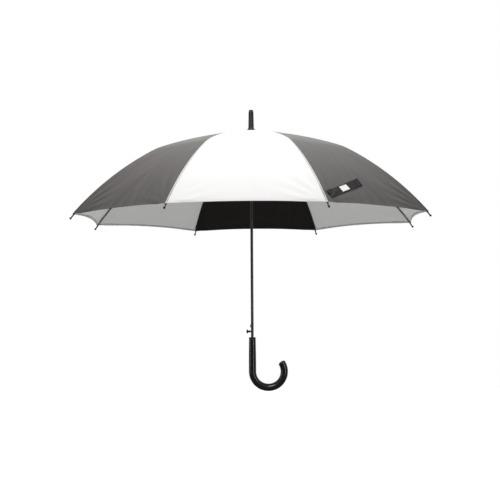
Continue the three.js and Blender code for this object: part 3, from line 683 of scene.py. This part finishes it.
def tie(rib, part, down):
    spot = np.array([np.interp(down, seam_down, seam[:, k]) for k in (0, 1)])
    out = np.array([np.interp(down, seam_down, seam_normals[:, k]) for k in (0, 1)])
    along = np.array([out[1], -out[0]])
    turns = np.linspace(0, 2 * math.pi * TIE_TURNS, 14 * TIE_TURNS)
    rise = -CLOTH_ABOVE_RIB * 0.62 + np.sin(turns) * TIE_HALF_HEIGHT
    wide = np.cos(turns) * TIE_HALF_WIDTH
    ahead = np.linspace(-0.5, 0.5, len(turns)) * TIE_TURNS * TIE_PITCH
    flat = spot + np.outer(rise, out) + np.outer(ahead, along)
    path = np.stack([flat[:, 0], wide, flat[:, 1]], 1)
    points, faces = tube(path, TIE_THREAD, 6)
    azimuth = (rib - 0.5) * 2 * HALF_GORE
    add_mesh(f"tie_{part}_{rib}", turned_about_z(points, azimuth), faces, thread.made,
             f"{part}_rib_{rib}")


for rib in range(1, RIBS + 1):
    tie(rib, "inner", JOINT_DOWN * 0.5)
    tie(rib, "outer", JOINT_DOWN + (SEAM_LENGTH - JOINT_DOWN) * 0.5)


# --- Frame's metal and rods -----------------------------------------------------------------
# The ribs and stretchers are folded from thin steel strip, painted black, and the outer ribs
# are pultruded fibreglass. The shaft is a drawn steel tube with a thin black coat that
# shines a little along its length.

def smooth_modifier():
    """Shades smoothly across edges that bend less than 35 degrees."""
    group = bpy.data.node_groups.new("smooth_by_angle", "GeometryNodeTree")
    group.interface.new_socket("Geometry", in_out="INPUT", socket_type="NodeSocketGeometry")
    group.interface.new_socket("Geometry", in_out="OUTPUT", socket_type="NodeSocketGeometry")
    start = group.nodes.new("NodeGroupInput")
    end = group.nodes.new("NodeGroupOutput")
    weld = group.nodes.new("GeometryNodeMergeByDistance")
    weld.inputs["Distance"].default_value = 1e-6
    angle = group.nodes.new("GeometryNodeInputMeshEdgeAngle")
    slight = group.nodes.new("FunctionNodeCompare")
    slight.operation = "LESS_THAN"
    slight.inputs[1].default_value = math.radians(35)
    faces = group.nodes.new("GeometryNodeSetShadeSmooth")
    edges = group.nodes.new("GeometryNodeSetShadeSmooth")
    edges.domain = "EDGE"
    join = group.links.new
    join(start.outputs[0], weld.inputs["Geometry"])
    join(weld.outputs[0], faces.inputs["Geometry"])
    join(faces.outputs[0], edges.inputs["Geometry"])
    join(angle.outputs[0], slight.inputs[0])
    join(slight.outputs[0], edges.inputs["Shade Smooth"])
    join(edges.outputs[0], end.inputs[0])
    return group


smooth = smooth_modifier()


def dress(name, material):
    """Gives a CAD node its finish."""
    node = frame["nodes"][name]
    for place in node.material_slots:
        place.material = material
    modifier = node.modifiers.new("smooth", "NODES")
    modifier.node_group = smooth


def metal(name, tone, worn, rough, metallic, grain, relief=0.4):
    """Steel or rod with fine marks, whose scale along x, y and z is the grain."""
    steel = Material(name)
    place = steel.place()
    marks = steel.noise(steel.stretched(place, *grain), 1.0, 4.0, 0.6)
    patches = steel.noise(place, 14.0, 3.0)
    colour = steel.blend((patches * 0.7 + marks * 0.5 - 0.35).clamped() * 0.5, tone, worn)
    steel.finish(steel.skin(Base_Color=colour, Metallic=metallic, Normal=steel.bump(marks, 0.00003, relief),
                            Roughness=marks * 0.18 + rough))
    return steel.made


shaft_steel = metal("shaft_coat", (0.06, 0.06, 0.054, 1), (0.2, 0.2, 0.19, 1), rough=0.22, metallic=0.75,
                    grain=(300, 300, 6), relief=0.08)
rib_steel = metal("rib_paint", (0.03, 0.03, 0.029, 1), (0.16, 0.16, 0.155, 1), rough=0.35, metallic=0.4,
                  grain=(300, 300, 300))
bright_steel = metal("spring_steel", (0.42, 0.42, 0.4, 1), (0.62, 0.61, 0.59, 1), rough=0.25, metallic=1.0,
                     grain=(700, 700, 700))
rod_glass = metal("rod_fibreglass", (0.018, 0.018, 0.019, 1), (0.05, 0.05, 0.05, 1), rough=0.38, metallic=0.0,
                  grain=(500, 500, 120))

dress("shaft", shaft_steel)
dress("notch_wire", bright_steel)
dress("runner_wire", bright_steel)
dress("catch_leaf", bright_steel)
for rib in range(1, RIBS + 1):
    dress(f"inner_rib_{rib}", rib_steel)
    dress(f"stretcher_{rib}", rib_steel)
    dress(f"outer_rib_{rib}", rod_glass)


# --- Opening spring -------------------------------------------------------------------------
# Hard-drawn wire wound loosely round the shaft, hooked to the seat under the notch and to the
# runner, which it pulls up, and stretches as the runner goes down. Here it is one fixed coil, built at rest.
SPRING_WIRE = 0.6 * MM
SPRING_RADIUS = 5.6 * MM
SPRING_TURNS = 26

spring_low, spring_high = (corner[2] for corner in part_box("opening_spring"))
turns = np.linspace(0, 2 * math.pi * SPRING_TURNS, SPRING_TURNS * 28)
rise = np.linspace(spring_low + SPRING_WIRE, spring_high - SPRING_WIRE, len(turns))
coil = np.stack([SPRING_RADIUS * np.cos(turns), SPRING_RADIUS * np.sin(turns), rise], 1)
points, faces = tube(coil, SPRING_WIRE, 8)
spring = bpy.data.meshes.new("spring_coil")
spring.from_pydata(points.tolist(), [], faces)
spring.materials.append(bright_steel)
spring.shade_smooth()
spring_piece = bpy.data.objects.new("spring_coil", spring)
scene.collection.objects.link(spring_piece)
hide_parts("opening_spring")
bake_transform(spring_piece)


# --- Black plastic parts --------------------------------------------------------------------
# Injection-moulded ABS: the crook handle is polished and picks up fine scratches, the small
# parts are plainer. All are pressed or glued on, or turn on wires.

def plastic(name, tone, rough, wear):
    """Moulded plastic with a faint cloud and hairline scratches."""
    moulded = Material(name)
    place = moulded.place()
    cloud = moulded.noise(place, 35.0, 3.0)
    fine = moulded.noise(place, 900.0, 2.0)
    scratches = moulded.noise(moulded.stretched(place, 60, 60, 900), 1.0, 3.0, 0.7)
    scratched = scratches.near(0.5, 0.012, 0.02) * wear * 0.4
    bright = tuple(min(1, part * 2.2 + 0.01) for part in tone)
    colour = moulded.blend((cloud * 0.5 + scratched * 0.5), (*tone, 1), (*bright, 1))
    roughness = cloud * 0.1 + scratched * 0.15 + rough
    relief = moulded.bump(fine * 0.05 + cloud + scratched * 0.2, 0.00002, 0.1)
    moulded.finish(moulded.skin(Base_Color=colour, Roughness=roughness, Normal=relief, Coat_Weight=0.15,
                                Coat_Roughness=0.15))
    return moulded.made


handle_plastic = plastic("handle_plastic", (0.008, 0.008, 0.0082), 0.14, 0.3)
trim_plastic = plastic("trim_plastic", (0.006, 0.006, 0.0062), 0.36, 0.2)


def turned_faces(profile, sides):
    """A shape turned about z from (radius, z) points. Points on the axis become poles."""
    points = []
    rings = []
    for radius, z in profile:
        count = 1 if radius < 1e-7 else sides
        rings.append(list(range(len(points), len(points) + count)))
        for j in range(count):
            angle = 2 * math.pi * j / sides
            points.append((radius * math.cos(angle), radius * math.sin(angle), z))
    faces = []
    for low, high in zip(rings, rings[1:]):
        for j in range(sides):
            k = (j + 1) % sides
            if len(low) == 1 and len(high) == 1:
                continue
            if len(low) == 1:
                faces.append((low[0], high[k], high[j]))
            elif len(high) == 1:
                faces.append((low[j], low[k], high[0]))
            else:
                faces.append((low[j], low[k], high[k], high[j]))
    return np.array(points), faces


def rounded(corners, radius=0.6 * MM, steps=4):
    """Rounds the corners of an open outline."""
    points = [np.array(corner, float) for corner in corners]
    out = [points[0]]
    for before, here, after in zip(points, points[1:], points[2:]):
        reach = min(radius, np.linalg.norm(before - here) * 0.45, np.linalg.norm(after - here) * 0.45)
        a = here + (before - here) / np.linalg.norm(before - here) * reach
        b = here + (after - here) / np.linalg.norm(after - here) * reach
        for share in np.linspace(0, 1, steps):
            out.append((1 - share) ** 2 * a + 2 * share * (1 - share) * here + share ** 2 * b)
    return out + [points[-1]]


def turned_piece(name, profile, material, body, node, sides=48, place=None):
    """A turned part that takes the place of a CAD node, moved from the z axis to its place."""
    points, faces = turned_faces(profile, sides)
    if place is not None:
        matrix = np.array(place)
        points = points @ matrix[:3, :3].T + matrix[:3, 3]
    piece = add_mesh(name, points, faces, material, body)
    piece.modifiers.new("smooth", "NODES").node_group = smooth
    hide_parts(node)
    return piece


# The crook: a tapered grip, then most of a circle, with a slightly domed end.
GRIP_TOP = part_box("crook_handle")[1][2]
GRIP_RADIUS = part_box("crook_handle")[1][1]
GRIP_TOP_RADIUS = 9.8 * MM
HOOK_RADIUS = 45.4 * MM
HOOK_CENTRE_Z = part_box("crook_handle")[0][2] + HOOK_RADIUS + GRIP_RADIUS
HOOK_ARC = math.radians(212)
END_DOME = 0.45
RIM = 0.7 * MM

straight = np.linspace(GRIP_TOP, HOOK_CENTRE_Z, 24)[:-1]
grip_path = [(0, 0, z) for z in straight]
turns = np.linspace(math.pi, math.pi + HOOK_ARC, 72)
hook_path = [(HOOK_RADIUS + HOOK_RADIUS * math.cos(t), 0, HOOK_CENTRE_Z + HOOK_RADIUS * math.sin(t))
             for t in turns]
taper = np.clip(straight / GRIP_TOP, 0, 1)
radii = list(GRIP_RADIUS + (GRIP_TOP_RADIUS - GRIP_RADIUS) * taper) + [GRIP_RADIUS] * len(turns)
end_way = np.array([-math.sin(turns[-1]), 0, math.cos(turns[-1])])
end_point = np.array(hook_path[-1])
dome = np.linspace(0, math.pi / 2, 9)[1:]
dome_path = [end_point + end_way * GRIP_RADIUS * END_DOME * math.sin(t) for t in dome]
radii += [max(GRIP_RADIUS * math.cos(t), 0.05 * MM) for t in dome]
rim_path = [(0, 0, GRIP_TOP), (0, 0, GRIP_TOP - 0.5 * MM)]
rim_radii = [GRIP_TOP_RADIUS - RIM, GRIP_TOP_RADIUS - 0.12 * MM]
grip_path[0] = (0, 0, GRIP_TOP - RIM)
points, faces = tube(rim_path + grip_path + hook_path + dome_path, rim_radii + radii, 48)
handle = add_mesh("crook", points, faces, handle_plastic, "frame")
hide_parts("crook_handle")

# The ring at the grip's top, round the shaft.
COLLAR_BORE = 4.35 * MM
collar_low, collar_high = (corner[2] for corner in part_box("handle_collar"))
collar_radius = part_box("handle_collar")[1][1]
turned_piece("collar_ring", rounded([
    (COLLAR_BORE, collar_high), (COLLAR_BORE, collar_low), (collar_radius, collar_low),
    (collar_radius, collar_low + 2.6 * MM), (collar_radius - 1.1 * MM, collar_high),
    (COLLAR_BORE, collar_high)]), trim_plastic, "frame", "handle_collar")

# The button: a mushroom head on a stem that goes into the shaft.
button_low, button_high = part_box("push_button")
button_z = (button_low[2] + button_high[2]) / 2
head_radius = (button_high[2] - button_low[2]) / 2
head_back = button_low[0] + 4.6 * MM
STEM_RADIUS = 2.4 * MM
BOSS_RADIUS = 2.9 * MM
BOSS_END = -5.9 * MM
button_place = Matrix.Translation((0, 0, button_z)) @ Matrix.Rotation(math.pi / 2, 4, "Y")
turned_piece("button_cap", rounded([
    (0, button_low[0]), (head_radius * 0.6, button_low[0] + 0.3 * MM),
    (head_radius, button_low[0] + 1.6 * MM), (head_radius, head_back - 0.6 * MM),
    (3.6 * MM, head_back + 0.4 * MM), (BOSS_RADIUS, head_back + 1.4 * MM), (BOSS_RADIUS, BOSS_END),
    (STEM_RADIUS, BOSS_END), (STEM_RADIUS, button_high[0]), (0, button_high[0])], 1.0 * MM),
    trim_plastic, "button", "push_button", place=button_place)

# The ferrule over the canopy: a long tapered spike, a small cap on it and a flange under it.
FERRULE_BORE = 4.4 * MM
SPIKE_TOP_RADIUS = 6.9 * MM
CAP_RADIUS = 6.1 * MM
ferrule_low, ferrule_high = (corner[2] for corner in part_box("ferrule"))
base_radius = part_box("ferrule")[1][1]
turned_piece("ferrule_spike", rounded([
    (FERRULE_BORE, ferrule_low), (base_radius, ferrule_low), (base_radius, ferrule_low + 2.2 * MM),
    (base_radius - 0.9 * MM, ferrule_low + 3 * MM), (SPIKE_TOP_RADIUS + 0.4 * MM, ferrule_high - 6 * MM),
    (SPIKE_TOP_RADIUS, ferrule_high), (0, ferrule_high)]), trim_plastic, "frame", "ferrule")
cap_low, cap_high = (corner[2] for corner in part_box("ferrule_cap"))
turned_piece("ferrule_tip", rounded([
    (0, cap_low), (CAP_RADIUS, cap_low), (CAP_RADIUS, cap_high - 1 * MM), (CAP_RADIUS - 1 * MM, cap_high),
    (0, cap_high)], 0.5 * MM), trim_plastic, "frame", "ferrule_cap")
flange_low, flange_high = (corner[2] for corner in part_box("rosette"))
flange_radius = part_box("rosette")[1][1]
turned_piece("flange", rounded([
    (FERRULE_BORE, flange_low), (flange_radius, flange_low), (flange_radius, flange_low + 0.9 * MM),
    (10.6 * MM, flange_low + 2.2 * MM), (9.6 * MM, flange_high), (FERRULE_BORE, flange_high)]),
    trim_plastic, "frame", "rosette")
dress("crown_washer", dark_tape)
for name in ("notch", "spring_seat", "runner"):
    dress(name, trim_plastic)

# The tip caps: short sleeves with a ball end, pushed on the rods and sewn to the corners.
TIP_LENGTH = 18 * MM
TIP_INSIDE = 9 * MM
BALL_RADIUS = 3.2 * MM
ahead = outer_line[-1] - outer_line[-2]
ahead /= np.linalg.norm(ahead)
ball = [(BALL_RADIUS * math.cos(t), TIP_LENGTH - BALL_RADIUS + BALL_RADIUS * math.sin(t))
        for t in np.linspace(-1.0, 1.5, 12)]
tip_profile = rounded([(0, 0.3 * MM), (1.7 * MM, 0.3 * MM), (1.75 * MM, 0), (2.2 * MM, 0.2 * MM),
                       (2.2 * MM, 3 * MM), (1.95 * MM, 3.6 * MM), (1.95 * MM, 10 * MM)], 0.3 * MM)
tip_profile += ball + [(0, TIP_LENGTH)]
foot = outer_line[-1] - ahead * TIP_INSIDE
tilt = Matrix.Rotation(math.pi / 2 + math.atan2(-ahead[1], ahead[0]), 4, "Y")
for rib in range(1, RIBS + 1):
    spin = Matrix.Rotation((rib - 0.5) * 2 * HALF_GORE, 4, "Z")
    turned_piece(f"tip_{rib}", tip_profile, trim_plastic, f"outer_rib_{rib}", f"tip_cap_{rib}", 24,
                 spin @ Matrix.Translation((foot[0], 0, foot[1])) @ tilt)
